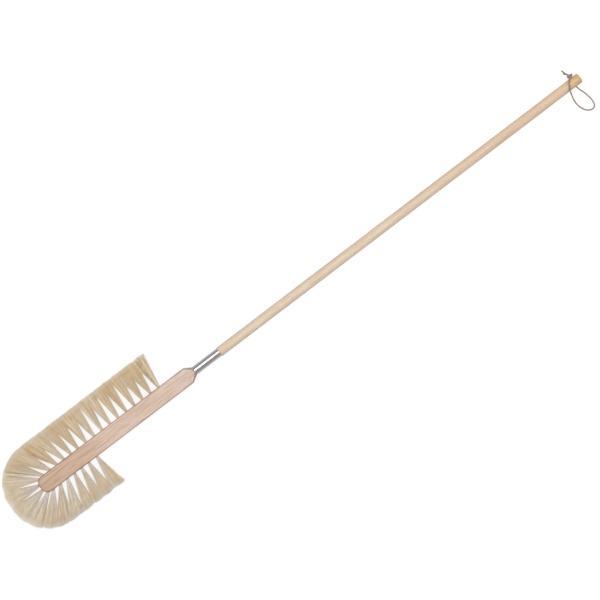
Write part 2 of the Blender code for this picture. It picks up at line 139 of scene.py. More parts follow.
# Tufts, from the handle end of the long side round the tip to the handle end of the short side. A
# lean is measured in degrees from square to the block's long edge, towards the tip, and a place
# on a rounded corner of the tip in degrees from its front.
LONG_SIDE_TUFTS = 16
SHORT_SIDE_TUFTS = 7
TUFT_START = 0.0165
CLOSE_PITCH = 0.0157
WIDE_PITCH = 0.018
CLOSE_PITCHES = 5
SIDE_LEANS = (42, 30, 20.5, 13, 8.5, 4.5, 1.5)
TIP_CORNER_LEAN = 57
TIP_FRONT_LEAN = 79
TIP_CORNER_PLACE = 58
TIP_FRONT_PLACE = 10
FREE_EDGE_LEAN = 10.4
FREE_EDGE_OUTSET = 0.003
LEAST_RISE = 0.001  # for lines along the brush, which never meet the straight sides
GAP_HEIGHT_SHARES = (  # how far up the gap between each two tufts stays open
    0.44, 0.41, 0.46, 0.82, 0.54, 0.74, 0.47, 0.74, 0.45, 0.54, 0.51, 0.56, 0.45,
    0.35, 0.38, 0.50, 0.48, 0.55, 0.29, 0.62, 0.40, 0.49, 0.76, 0.65, 0.52, 0.59,
)
CLOSING_ALLOWANCE = 0.11  # stray hairs cross a gap this share of its height before its sides meet
HELD_SHARE = 0.12  # how fully the hairs beside a gap keep to their own tuft past its closing
PARTED_GAPS = {17: 0.8, 18: 0.85}  # gaps, counted from 1, that run on to the rim as thin partings

# Hair
HAIR_SEED = 700
BRISTLE_LENGTH = 0.065
HAIRS_PER_TUFT = 640
HAIR_WIDTH = 0.0003
HAIR_WIDTH_RANGE = (0.8, 1.2)  # of single hairs, as shares
HAIR_SIDES = 4
HAIR_STEP_SHARES = (0, 0.1, 0.26, 0.46, 0.7, 1)
HAIR_WIDTH_SHARES = (0.7, 0.75, 0.95, 1, 1, 0.95, 0.65)
HAIR_ROOT_RADIUS = 0.0026
HAIR_ROOT_DEPTH = 0.002
HAIR_TOP = 0.0197  # height of the highest tips over the resting surface
HAIR_BOTTOM = 0.0007
CLUMPS_PER_TUFT = 56
CLUMP_PULL = 0.5
CLUMP_PULL_RANGE = (0.4, 1.3)  # of single hairs, as shares
TIP_SCATTER = 0.04
TIP_SPREAD = 0.0004
BOW_SPREAD = 0.0003
STRAY_SHARE = 0.006
STRAY_FACTOR = 3.5  # how much further a stray hair bends
TRIM_SHORT = 0.0005  # how far the middle of the tips stays inside the full length
TRIM_SPREAD = 0.0005
CLUMP_TRIM_SPREAD = 0.0007
TRIM_WAVE = 0.0004
TRIM_WAVE_TURN = 3  # radians from the middle of a tuft to its side
TUFT_EDGE_SHORT = (0.0003, 0.0017)  # how much shorter the hairs at the sides of a tuft are
TUFT_EDGE_POWER = 4
RAGGED_SHARES = ((14, 17), (1, 1.7))  # tufts, counted from 0, and how uneven their tips are
WARM_SHARES = ((0, 12, 17, 26), (0.82, 0.76, 0.42, 0.38))  # the same for how golden they are
TONE_LOW = 0.12
TONE_RANGE = 0.76
TONE_STEP = 0.618  # from one clump to the next
TONE_SPREAD = 0.16
WARMTH_RANGE = 0.6
WARMTH_STEP = 0.755  # from one clump to the next
WARMTH_SPREAD = 0.1
TUFT_WARMTH_SPREAD = 0.15

# Thong, measured from the middle of the cross hole
THONG_SEED = 41
THONG_DIAMETER = 0.0026
THONG_ROUTE = (
    (0.0, 0.0095, 0.0),
    (0.0, 0.0045, 0.0),
    (0.0, -0.0045, 0.0),
    (0.0, -0.0093, 0.0),
    (0.0006, -0.0130, -0.0004),
    (0.0019, -0.0175, -0.0018),
    (0.0053, -0.0271, -0.0056),
    (0.0074, -0.0364, -0.0074),
    (0.0082, -0.0430, -0.0075),
    (0.0078, -0.0494, -0.0075),
    (0.0056, -0.0556, -0.0075),
    (-0.0005, -0.0581, -0.0075),
    (-0.0062, -0.0563, -0.0075),
    (-0.0117, -0.0515, -0.0075),
    (-0.0157, -0.0440, -0.0075),
    (-0.0177, -0.0357, -0.0071),
    (-0.0180, -0.0290, -0.0051),
    (-0.0172, -0.0223, -0.0012),
    (-0.0152, -0.0138, 0.0047),
    (-0.0133, -0.0079, 0.0083),
    (-0.0115, -0.0040, 0.0102),
    (-0.0094, 0.0000, 0.0108),
    (-0.0070, 0.0036, 0.0102),
    (-0.0048, 0.0063, 0.0089),
    (-0.0025, 0.0088, 0.0061),
)
THONG_POINTS = 240
THONG_SIDES = 16
LACE_WAVES = (2, 5, 9)  # changes of width along a lace, each of a random size
LACE_WAVE_SPREAD = 0.012
LACE_FLAW_SPREAD = 0.006

# Knot: one end winds round both ends, and the two tails come out of the turns.
KNOT_CENTRE = (0.0011, 0.0124, 0.0030)
KNOT_CLEARANCE = 0.0002  # from the handle, also when the loop turns
KNOT_TILT = math.radians(10)  # about X
KNOT_RADII = (0.0036, 0.0031)  # of the turns, along the handle and square to it
KNOT_PITCH = 0.0025
KNOT_FIRST_ANGLE = 50  # degrees from +X towards +Z
KNOT_LAST_ANGLE = -580
KNOT_WINDING_POINTS = 22
KNOT_BULGE = 0.0019  # how far the middle turn stands off, towards the end of the handle
KNOT_BULGE_PLACE = 1.14  # in turns from the first angle
KNOT_BULGE_SPREAD = 0.02
KNOT_END = (0.0006, 0.0006, 0.0002)  # where the winding end is tucked in, from the knot's centre
KNOT_END_SHARE = 0.5  # how much of the last turn's place is added to that
LONG_TAIL_ROUTE = (
    (0.0, 0.0093, 0.0),
    (0.0010, 0.0115, 0.0018),
    (0.0011, 0.0140, 0.0037),
    (0.0002, 0.0168, 0.0045),
    (-0.0016, 0.0206, 0.0043),
    (-0.0032, 0.0249, 0.0033),
    (-0.0043, 0.0290, 0.0018),
)
SHORT_TAIL_ROUTE = (
    (0.0026, 0.0105, 0.0024),
    (0.0020, 0.0128, 0.0020),
    (0.0004, 0.0158, 0.0016),
    (-0.0022, 0.0195, 0.0011),
    (-0.0052, 0.0232, 0.0003),
)
KNOT_POINTS = 200

# Fineness of the shapes
CURVE_STEPS = 20
ROUTE_STEPS = 24  # between two points of a route
TURNED_SIDES = 128
HOLE_SIDES = 28
MERGE_DISTANCE = 0.00001
WOOD_SHARP_ANGLE = 28  # degrees from which an edge is shown as sharp
SLEEVE_SHARP_ANGLE = 40
UPRIGHT_LIMIT = 0.9  # a path steeper than this can't take its sides from the vertical
PHASES = (0, 6)  # range of random phases, in radians

# Places in each tube's cell of the map, as shares of the cell
MAP_SIDE_MARGIN = 0.05
MAP_END_MARGIN = 0.08
MAP_CAP_PLACE = 0.04
MAP_CAP_RADIUS = 0.03

# Layers of noise: stretch along each axis, scale, detail and roughness
WOOD_STREAKS = ((7, 150, 150), 3.0, 6.0, 0.62)
WOOD_BROAD_TONES = ((3, 38, 38), 1.6, 2.0, 0.5)
WOOD_RAYS = ((130, 900, 900), 1.0, 2.0, 0.4)
WOOD_FIBRES = ((60, 1400, 1400), 1.0, 3.0, 0.6)
HAIR_MOTTLE = ((300, 300, 300), 1.0, 2.0, 0.5)
SLEEVE_MARKS = ((2600, 60, 60), 1.0, 2.0, 0.5)
SLEEVE_SMEARS = ((90, 90, 90), 1.0, 3.0, 0.5)
WIRE_MARKS = ((900, 900, 300), 1.0, 3.0, 0.6)
LEATHER_MOTTLE = ((420, 420, 420), 1.0, 4.0, 0.6)
LEATHER_PORES = (2600, 2600, 2600)

# Wood: the colours of its grain, the turn of the grain about Z, tints along the brush as (X, tint),
# on the block painted shade towards the tip, and the painted shade of surfaces that turn away from
# the top
BLOCK_WOOD = {
    "light": (205, 185, 171),
    "dark": (180, 155, 137),
    "fleck": (170, 143, 124),
    "turn": math.radians(-4),
    # darker towards the tip: painted shade of the bristles round it
    "tints_and_shade": (
        (TIP_X, (233, 220, 203)),
        (-0.07, (239, 227, 215)),
        (-0.03, (251, 245, 240)),
        (NECK_X, (255, 255, 255)),
    ),
    # painted shade: the rounded edges, sides and tuft holes of the block are darkened
    "painted_edge_shade": (222, 215, 209),
}
HANDLE_WOOD = {
    "light": (213, 195, 172),
    "dark": (202, 182, 158),
    "fleck": (190, 164, 133),
    "turn": math.radians(0.4),
    "tints_and_shade": (
        (SHOULDER_X, (249, 247, 245)),
        (0.4, (255, 255, 255)),
        (0.7, (253, 251, 249)),
        (0.85, (251, 245, 238)),
        (HANDLE_END_X - 0.05, (254, 246, 237)),
        (HANDLE_END_X - 0.03, (254, 243, 229)),
        (HANDLE_END_X - 0.015, (250, 228, 197)),
        (HANDLE_END_X - 0.007, (244, 223, 182)),
    ),
    "painted_edge_shade": (255, 255, 255),
}
PALE_FACTOR = 1.08  # from the light grain to the palest
WARM_FACTORS = (1.02, 0.97, 0.93)  # from the dark grain to the broad warm tones

# Other colours, as one colour or as (place in a ramp, colour)
HAIR_TONES = (
    (0.0, (234, 218, 190)),
    (0.35, (254, 243, 227)),
    (0.6, (255, 251, 241)),
    (1.0, (255, 252, 249)),
)
HAIR_WARM = (243, 226, 192)
HAIR_MOTTLE_TINTS = ((0.35, (247, 244, 240)), (0.6, (255, 255, 255)))
# painted shade along each hair, from the wood (0) to the tip (1)
HAIR_PAINTED_SHADE = (
    (0.0, (231, 231, 240)),
    (0.2, (233, 234, 243)),
    (0.32, (241, 242, 248)),
    (0.5, (248, 249, 252)),
    (0.7, (255, 255, 255)),
)
HAIR_TIP = (255, 251, 244)
SLEEVE_METAL = (227, 225, 224)
WIRE_METAL = ((0.3, (186, 184, 178)), (0.7, (214, 212, 206)))
LEATHER_BROWNS = ((0.3, (126, 110, 99)), (0.55, (151, 135, 121)), (0.78, (171, 155, 141)))


def srgb(red, green, blue):
    """Linear colour of an sRGB colour given from 0 to 255."""
    shares = (red / 255, green / 255, blue / 255)
    return tuple(c / 12.92 if c <= 0.04045 else ((c + 0.055) / 1.055) ** 2.4 for c in shares)


# Making meshes


def add_piece(name, mesh, material, body, slot, *nodes):
    """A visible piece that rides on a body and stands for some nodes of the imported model."""
    piece = bpy.data.objects.new(name, mesh)
    bpy.context.scene.collection.objects.link(piece)
    mesh.materials.clear()
    mesh.materials.append(material)
    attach(piece, body)
    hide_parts(*nodes)
    return piece


def helper_object(name, data):
    helper = bpy.data.objects.new(name, data)
    bpy.context.scene.collection.objects.link(helper)
    return helper


def mesh_from(shape, name):
    """A mesh of a bmesh, which is freed."""
    mesh = bpy.data.meshes.new(name)
    shape.to_mesh(mesh)
    shape.free()
    return mesh


def finished_mesh(obj, name, sharp_angle):
    """The mesh of an object with its modifiers applied, in world space. The object is removed."""
    bpy.context.view_layer.update()
    shown = obj.evaluated_get(bpy.context.evaluated_depsgraph_get())
    mesh = bpy.data.meshes.new_from_object(shown)
    mesh.transform(shown.matrix_world)
    mesh.name = name
    bpy.data.objects.remove(obj)
    shape = bmesh.new()
    shape.from_mesh(mesh)
    bmesh.ops.remove_doubles(shape, verts=shape.verts, dist=MERGE_DISTANCE)
    bmesh.ops.recalc_face_normals(shape, faces=shape.faces)
    shape.to_mesh(mesh)
    shape.free()
    mesh.shade_smooth()
    mesh.set_sharp_from_angle(angle=math.radians(sharp_angle))
    return mesh


def turned_object(name, profile, closed=False):
    """A profile of (place along X, radius), from its +X end down, turned about the brush's axis."""
    shape = bmesh.new()
    points = [shape.verts.new((radius, 0, along)) for along, radius in profile]
    pairs = list(zip(points, points[1:]))
    if closed:
        pairs.append((points[-1], points[0]))
    for pair in pairs:
        shape.edges.new(pair)
    turned = helper_object(name, mesh_from(shape, name))
    turned.location = (0, 0, AXIS_HEIGHT)
    turned.rotation_euler = (0, math.pi / 2, 0)
    screw = turned.modifiers.new("turned", "SCREW")
    screw.steps = screw.render_steps = TURNED_SIDES
    screw.use_merge_vertices = True
    screw.merge_threshold = MERGE_DISTANCE
    return turned


def drill(name, radius, start, end, base, heading):
    """A cutter for a round hole, from start to end along a heading in the plane of the brush."""
    shape = bmesh.new()
    middle = Matrix.Translation(((start + end) / 2, 0, 0)) @ Matrix.Rotation(math.pi / 2, 4, "Y")
    bmesh.ops.create_cone(
        shape,
        cap_ends=True,
        segments=HOLE_SIDES,
        radius1=radius,
        radius2=radius,
        depth=end - start,
        matrix=middle,
    )
    cutter = helper_object(name, mesh_from(shape, name))
    cutter.location = base
    cutter.rotation_euler = (0, 0, heading)
    return cutter


def boolean(obj, operation, operand):
    """A boolean modifier with an object or a collection."""
    modifier = obj.modifiers.new(operation.lower(), "BOOLEAN")
    modifier.operation = operation
    modifier.solver = "EXACT"
    if isinstance(operand, bpy.types.Collection):
        modifier.operand_type = "COLLECTION"
        modifier.collection = operand
    else:
        modifier.object = operand


def arc(centre, radius, start, end, steps=CURVE_STEPS):
    """Points on an arc, with angles in degrees."""
    angles = [math.radians(start + (end - start) * step / steps) for step in range(steps + 1)]
    return [(centre[0] + radius * math.cos(a), centre[1] + radius * math.sin(a)) for a in angles]


def smooth_route(route, count):
    """Evenly spaced points on a smooth curve through the points of a route, as rows of an array."""
    knots = np.array(route, float)
    knots = np.vstack([2 * knots[0] - knots[1], knots, 2 * knots[-1] - knots[-2]])
    t = np.linspace(0, 1, ROUTE_STEPS, endpoint=False)[:, None]
    spans = []
    for before, start, end, after in zip(knots, knots[1:], knots[2:], knots[3:]):
        spans.append(
            (
                2 * start
                + (end - before) * t
                + (2 * before - 5 * start + 4 * end - after) * t**2
                + (3 * start - before - 3 * end + after) * t**3
            )
            / 2
        )
    fine = np.vstack([*spans, knots[-2]])
    steps = np.linalg.norm(np.diff(fine, axis=0), axis=1)
    travelled = np.concatenate([[0], np.cumsum(steps)])
    places = np.linspace(0, travelled[-1], count)
    return np.stack([np.interp(places, travelled, fine[:, axis]) for axis in range(3)], axis=1)


def unit(vectors):
    return vectors / np.linalg.norm(vectors, axis=-1, keepdims=True)


def circle(sides):
    """Points round a circle of radius 1, as rows of an array."""
    turns = np.arange(sides) * 2 * math.pi / sides
    return np.stack([np.cos(turns), np.sin(turns)], axis=1)


def tube_rings(paths, widths, sides):
    """Vertices round paths of shape (tube, point, 3). Each ring is square to its path."""
    along = unit(np.gradient(paths, axis=1))
    guide = np.zeros_like(along)
    guide[..., 2] = 1
    guide[np.abs(along[..., 2]) > UPRIGHT_LIMIT] = (1, 0, 0)
    across = unit(np.cross(along, guide))
    upward = np.cross(across, along)
    cosines, sines = circle(sides).T[:, :, None]
    offsets = across[:, :, None] * cosines + upward[:, :, None] * sines
    return paths[:, :, None] + offsets * widths[..., None, None] / 2


def tubes_mesh(name, rings):
    """Closed tubes through rings of shape (tube, ring, side, 3), with a cell each in the map."""
    tubes, steps, sides = rings.shape[:3]
    number = np.arange(tubes * steps * sides).reshape(tubes, steps, sides)
    after = np.roll(number, -1, axis=2)
    quads = np.stack([number[:, :-1], after[:, :-1], after[:, 1:], number[:, 1:]], axis=-1)
    quads = quads.reshape(-1, 4).tolist()
    caps = number[:, 0, ::-1].tolist() + number[:, -1].tolist()
    mesh = bpy.data.meshes.new(name)
    mesh.from_pydata(rings.reshape(-1, 3).tolist(), [], quads + caps)

    columns = math.ceil(math.sqrt(tubes))
    cell = 1 / columns
    corner = np.stack([np.arange(tubes) % columns, np.arange(tubes) // columns], axis=1) * cell
    across = (np.arange(sides)[:, None] + (0, 1, 1, 0)) / sides
    along = (np.arange(steps - 1)[:, None] + (0, 0, 1, 1)) / (steps - 1)
    across = MAP_SIDE_MARGIN + (1 - 2 * MAP_SIDE_MARGIN) * across
    along = MAP_END_MARGIN + (1 - 2 * MAP_END_MARGIN) * along
    place = np.empty((tubes, steps - 1, sides, 4, 2))
    place[..., 0] = corner[:, 0, None, None, None] + cell * across
    place[..., 1] = corner[:, 1, None, None, None] + cell * along[None, :, None]
    cap = circle(sides) * cell * MAP_CAP_RADIUS
    ends = [
        corner[:, None] + cell * np.array([0.5, height]) + cap * (1, flip)
        for height, flip in ((MAP_CAP_PLACE, -1), (1 - MAP_CAP_PLACE, 1))
    ]
    layer = mesh.uv_layers.new(name="OFBake")
    layer.data.foreach_set("uv", np.concatenate([place.ravel(), ends[0].ravel(), ends[1].ravel()]))
    smooth = np.ones(len(mesh.polygons), bool)
    smooth[len(quads) :] = False
    mesh.polygons.foreach_set("use_smooth", smooth)
    return mesh


def point_values(mesh, name, values):
    attribute = mesh.attributes.new(name, "FLOAT", "POINT")
    attribute.data.foreach_set("value", np.ravel(values).astype(np.float32))


# Materials


def new_material(name):
    material = bpy.data.materials.new(name)
    material.use_nodes = True
    material.node_tree.nodes.clear()
    return material, material.node_tree


def node(tree, kind, inputs=None, **settings):
    """Adds a shader node. Its inputs are values or the outputs of other nodes."""
    made = tree.nodes.new("ShaderNode" + kind)
    for name, value in settings.items():
        setattr(made, name, value)
    for name, value in (inputs or {}).items():
        if isinstance(value, bpy.types.NodeSocket):
            tree.links.new(value, made.inputs[name])
        else:
            made.inputs[name].default_value = value
    return made


def grey(level):
    return (level, level, level)


def ramp(tree, factor, stops):
    """A colour ramp with stops of (place, linear colour)."""
    made = node(tree, "ValToRGB", {"Fac": factor})
    elements = made.color_ramp.elements
    while len(elements) < len(stops):
        elements.new(0.5)
    for element, (place, colour) in zip(elements, stops):
        element.position = place
        element.color = (*colour, 1)
    return made.outputs["Color"]


def srgb_ramp(tree, factor, stops):
    """A ramp with stops of (place, sRGB colour)."""
    return ramp(tree, factor, [(place, srgb(*colour)) for place, colour in stops])


def grey_ramp(tree, factor, *stops):
    """A ramp with stops of (place, linear grey)."""
    return ramp(tree, factor, [(place, grey(level)) for place, level in stops])


def scaled_place(tree, scale, turn=0.0):
    """Places on the brush, stretched by a scale for each axis and turned about Z."""
    place = node(tree, "TexCoord").outputs["Object"]
    mapping = node(tree, "Mapping", {"Vector": place, "Scale": scale, "Rotation": (0, 0, turn)})
    return mapping.outputs["Vector"]


def noise(tree, stretch, scale, detail, roughness, turn=0.0):
    """One layer of noise over the brush."""
    place = scaled_place(tree, stretch, turn)
    inputs = {"Vector": place, "Scale": scale, "Detail": detail, "Roughness": roughness}
    return node(tree, "TexNoise", inputs).outputs["Fac"]


def maths(tree, operation, *values):
    return node(tree, "Math", dict(enumerate(values)), operation=operation).outputs["Value"]


def mixed(tree, factor, one, other, blend="MIX"):
    """Two colours mixed."""
    made = node(tree, "Mix", data_type="RGBA", blend_type=blend, clamp_factor=True)
    for index, value in ((0, factor), (6, one), (7, other)):
        if isinstance(value, bpy.types.NodeSocket):
            tree.links.new(value, made.inputs[index])
        else:
            made.inputs[index].default_value = value if index == 0 else (*value, 1)
    return made.outputs[2]


def bump(tree, height, strength, distance):
    made = node(tree, "Bump", {"Height": height, "Strength": strength, "Distance": distance})
    return made.outputs["Normal"]


def finish_material(tree, inputs):
    shader = node(tree, "BsdfPrincipled", inputs)
    node(tree, "OutputMaterial", {"Surface": shader.outputs["BSDF"]})


def wood_material(name, light, dark, fleck, turn, tints_and_shade, painted_edge_shade):
    """Planed or turned beech: lengthwise grain, broad tone changes and short darker rays."""
    material, tree = new_material(name)
    light, dark = srgb(*light), srgb(*dark)
    streaks = noise(tree, *WOOD_STREAKS, turn)
    broad = noise(tree, *WOOD_BROAD_TONES, turn)
    rays = noise(tree, *WOOD_RAYS, turn)
    fibre = noise(tree, *WOOD_FIBRES, turn)

    pale = tuple(min(1, c * PALE_FACTOR) for c in light)
    colour = ramp(tree, streaks, ((0.38, dark), (0.5, light), (0.64, pale)))
    warm = tuple(c * factor for c, factor in zip(dark, WARM_FACTORS))
    colour = mixed(tree, grey_ramp(tree, broad, (0.4, 0), (0.72, 0.55)), colour, warm)
    colour = mixed(tree, grey_ramp(tree, rays, (0.6, 0), (0.7, 0.5)), colour, srgb(*fleck))

    # Tints along X: on the block they paint shade towards the tip, on the handle they are the
    # wood's own colour.
    position = node(tree, "TexCoord").outputs["Object"]
    x = node(tree, "SeparateXYZ", {"Vector": position}).outputs["X"]
    start, end = tints_and_shade[0][0], tints_and_shade[-1][0]
    reach = {"Value": x, "From Min": start, "From Max": end}
    along = node(tree, "MapRange", reach).outputs["Result"]
    stops = [((place - start) / (end - start), tint) for place, tint in tints_and_shade]
    colour = mixed(tree, 1, colour, srgb_ramp(tree, along, stops), "MULTIPLY")

    # Painted shade: surfaces that turn away from the top, such as rounded edges, sides and the
    # insides of the tuft holes, are darkened by this tint.
    normal = node(tree, "NewGeometry").outputs["Normal"]
    upward = node(tree, "SeparateXYZ", {"Vector": normal}).outputs["Z"]
    edge_shade_share = grey_ramp(tree, maths(tree, "ABSOLUTE", upward), (0.8, 1), (0.98, 0))
    colour = mixed(tree, edge_shade_share, colour, srgb(*painted_edge_shade), "MULTIPLY")
    finish_material(
        tree,
        {
            "Base Color": colour,
            "Roughness": grey_ramp(tree, streaks, (0.3, 0.62), (0.7, 0.5)),
            "Specular IOR Level": 0.35,
            "Normal": bump(tree, fibre, strength=0.25, distance=0.0004),
        },
    )
    return material


def hair_material():
    """Natural bristle: each hair has its own tone, with painted shade towards the wood, and it is
    paler at its tip.
    """
    material, tree = new_material("natural_bristle")
    tone, along, warmth = (
        node(tree, "Attribute", attribute_name=name).outputs["Fac"]
        for name in ("tone", "along", "warmth")
    )
    colour = srgb_ramp(tree, tone, HAIR_TONES)
    colour = mixed(tree, warmth, colour, srgb(*HAIR_WARM), "MULTIPLY")
    mottle = srgb_ramp(tree, noise(tree, *HAIR_MOTTLE), HAIR_MOTTLE_TINTS)
    colour = mixed(tree, 1, colour, mottle, "MULTIPLY")
    # Painted shade: darker and cooler towards the wood, where the hairs shade each other.
    shade = srgb_ramp(tree, along, HAIR_PAINTED_SHADE)
    colour = mixed(tree, 1, colour, shade, "MULTIPLY")
    tip_share = grey_ramp(tree, along, (0.86, 0), (1.0, 0.5))
    colour = mixed(tree, tip_share, colour, srgb(*HAIR_TIP))
    finish_material(tree, {"Base Color": colour, "Roughness": 0.5, "Specular IOR Level": 0.3})
    return material


def sleeve_material():
    """Polished plate with fine turning marks."""
    material, tree = new_material("polished_sleeve")
    marks = noise(tree, *SLEEVE_MARKS)
    smears = noise(tree, *SLEEVE_SMEARS)
    finish_material(
        tree,
        {
            "Base Color": (*srgb(*SLEEVE_METAL), 1),
            "Metallic": 1.0,
            "Roughness": grey_ramp(tree, smears, (0.35, 0.11), (0.7, 0.2)),
            "Normal": bump(tree, marks, strength=0.04, distance=0.0001),
        },
    )
    return material


def wire_material():
    """Drawn wire with faint marks."""
    material, tree = new_material("anchor_wire")
    colour = srgb_ramp(tree, noise(tree, *WIRE_MARKS), WIRE_METAL)
    finish_material(tree, {"Base Color": colour, "Metallic": 1.0, "Roughness": 0.38})
    return material


def leather_material():
    """Round leather lace: mottled brown with fine creases."""
    material, tree = new_material("leather_thong")
    mottle = noise(tree, *LEATHER_MOTTLE)
    place = scaled_place(tree, LEATHER_PORES)
    pores = node(tree, "TexVoronoi", {"Vector": place, "Scale": 1.0})
    finish_material(
        tree,
        {
            "Base Color": srgb_ramp(tree, mottle, LEATHER_BROWNS),
            "Roughness": grey_ramp(tree, mottle, (0.3, 0.66), (0.7, 0.52)),
            "Specular IOR Level": 0.35,
            "Normal": bump(tree, pores.outputs["Distance"], strength=0.35, distance=0.0002),
        },
    )
    return material


# Hair


def side_tuft(number, side):
    """Base point and direction of a tuft on a long edge, counted from the tip. side is 1 or -1."""
    close = min(number, CLOSE_PITCHES)
    distance = TUFT_START + CLOSE_PITCH * close + WIDE_PITCH * (number - close)
    lean = math.radians(SIDE_LEANS[number]) if number < len(SIDE_LEANS) else 0
    return (TIP_X + distance, side * BLOCK_WIDTH / 2), (-math.sin(lean), side * math.cos(lean))


def tip_tuft(place, lean, side):
    """Base point and direction of a tuft on the rounded tip."""
    place, lean = math.radians(place), math.radians(lean)
    x = CORNER_X - TIP_CORNER_RADIUS * math.cos(place)
    y = side * (CORNER_Y + TIP_CORNER_RADIUS * math.sin(place))
    return (x, y), (-math.sin(lean), side * math.cos(lean))


def all_tufts():
    """Base points and directions of all the tufts, as two arrays of (x, y)."""
    tufts = [
        *(side_tuft(number, 1) for number in reversed(range(LONG_SIDE_TUFTS))),
        tip_tuft(TIP_CORNER_PLACE, TIP_CORNER_LEAN, 1),
        tip_tuft(TIP_FRONT_PLACE, TIP_FRONT_LEAN, 1),
        tip_tuft(TIP_FRONT_PLACE, TIP_FRONT_LEAN, -1),
        tip_tuft(TIP_CORNER_PLACE, TIP_CORNER_LEAN, -1),
        *(side_tuft(number, -1) for number in range(SHORT_SIDE_TUFTS)),
    ]
    return np.array([base for base, way in tufts]), np.array([way for base, way in tufts])


def trimmed(start, way, length=BRISTLE_LENGTH):
    """Where lines meet the outline that lies a length outside the block's, as rows of (x, y)."""
    side = np.where(start[:, 1] + way[:, 1] * BRISTLE_LENGTH >= 0, 1.0, -1.0)
    rise = np.maximum(side * way[:, 1], LEAST_RISE)
    straight = (BLOCK_WIDTH / 2 + length - side * start[:, 1]) / rise
    from_centre = start - np.stack([np.full(len(start), CORNER_X), side * CORNER_Y], axis=1)
    along = (from_centre * way).sum(axis=1)
    radius = TIP_CORNER_RADIUS + length
    room = along**2 + radius**2 - (from_centre**2).sum(axis=1)
    rounded = -along + np.sqrt(np.maximum(room, 0))
    reach = np.where(start[:, 0] + straight * way[:, 0] >= CORNER_X, straight, rounded)
    return start + reach[:, None] * way


def gap_lines(bases, ways):
    """Root and tip of the line between each two tufts, and of a free edge before and after all."""
    roots = (bases[:-1] + bases[1:]) / 2
    tips = trimmed(bases, ways)
    tips = trimmed(roots, unit((tips[:-1] + tips[1:]) / 2 - roots))
    free_roots = bases[[0, -1]] + (FREE_EDGE_OUTSET, 0)
    lean = math.radians(FREE_EDGE_LEAN)
    sides = np.sign(ways[[0, -1], 1])
    free_ways = np.stack([np.full(2, math.sin(lean)), sides * math.cos(lean)], axis=1)
    free_tips = trimmed(free_roots, free_ways)
    roots = np.vstack([free_roots[:1], roots, free_roots[1:]])
    tips = np.vstack([free_tips[:1], tips, free_tips[1:]])
    return roots, tips


def squared(places):
    """Places in a disc of radius 1, moved so that they fill the square round it as evenly."""
    double = 2 * math.sqrt(2) * places
    spare = 2 + places**2 - places[:, ::-1] ** 2
    return (np.sqrt(np.maximum(spare + double, 0)) - np.sqrt(np.maximum(spare - double, 0))) / 2


def hair_places(random):
    """Where one tuft's hairs start, in a disc of radius 1, and end, in the square round it. Also
    the middles of the clumps that they bunch into, and the number of each hair's clump."""
    count = HAIRS_PER_TUFT
    spiral = (np.arange(count) + 0.5) / count
    turn = np.arange(count) * math.pi * (3 - math.sqrt(5))
    spread = np.sqrt(spiral)
    place = np.stack([spread * np.cos(turn), spread * np.sin(turn)], axis=1)
    clumps = random.uniform(-1, 1, (CLUMPS_PER_TUFT, 2))
    clumps /= np.maximum(1, np.linalg.norm(clumps, axis=1, keepdims=True))
    nearest = np.linalg.norm(place[:, None] - clumps, axis=2).argmin(axis=1)
    pull = CLUMP_PULL * random.uniform(*CLUMP_PULL_RANGE, (count, 1))
    scatter = random.normal(0, TIP_SCATTER, (count, 2))
    tip_place = place + pull * (clumps[nearest] - place) + scatter
    tip_place /= np.maximum(1, np.linalg.norm(tip_place, axis=1, keepdims=True))
    return place, squared(tip_place), clumps, nearest


def hair_lengths(random, lateral, side, nearest, ragged):
    """Lengths of one tuft's hairs: uneven from hair to hair and from clump to clump, wavy across
    the tuft and shorter at its sides."""
    length = BRISTLE_LENGTH - TRIM_SHORT + random.normal(0, TRIM_SPREAD, HAIRS_PER_TUFT)
    length += ragged * TRIM_WAVE * np.sin(TRIM_WAVE_TURN * lateral + random.uniform(*PHASES))
    length -= ragged * np.abs(random.normal(0, CLUMP_TRIM_SPREAD, CLUMPS_PER_TUFT))[nearest]
    edge_short = random.uniform(*TUFT_EDGE_SHORT, 2)[side]
    return length - ragged * edge_short * np.abs(lateral) ** TUFT_EDGE_POWER


def hair_sway(random, share):
    """How far each hair bends across and upwards at shares of its length."""
    count = HAIRS_PER_TUFT
    stray = np.where(random.uniform(size=count) < STRAY_SHARE, STRAY_FACTOR, 1.0)[:, None, None]
    bow = random.normal(0, BOW_SPREAD, (count, 1, 2)) * np.sin(math.pi * share) * stray
    flick = random.normal(0, TIP_SPREAD, (count, 1, 2)) * share**2 * stray
    return bow * share + flick


def hair_tones(random, clumps, nearest, warm_share):
    """Tone and warmth of one tuft's hairs, mostly those of their clump."""
    count = HAIRS_PER_TUFT
    order = clumps[:, 0].argsort().argsort()  # across the tuft, so that neighbours differ
    clump_tone = ((order * TONE_STEP + random.uniform()) % 1)[nearest]
    tone = TONE_LOW + TONE_RANGE * clump_tone + random.normal(0, TONE_SPREAD, count)
    clump_warmth = ((order * WARMTH_STEP + random.uniform()) % 1)[nearest] - 0.5
    clump_warmth += random.uniform(-TUFT_WARMTH_SPREAD, TUFT_WARMTH_SPREAD)
    warmth = warm_share + WARMTH_RANGE * clump_warmth + random.normal(0, WARMTH_SPREAD, count)
    return np.clip(tone, 0, 1), np.clip(warmth, 0, 1)


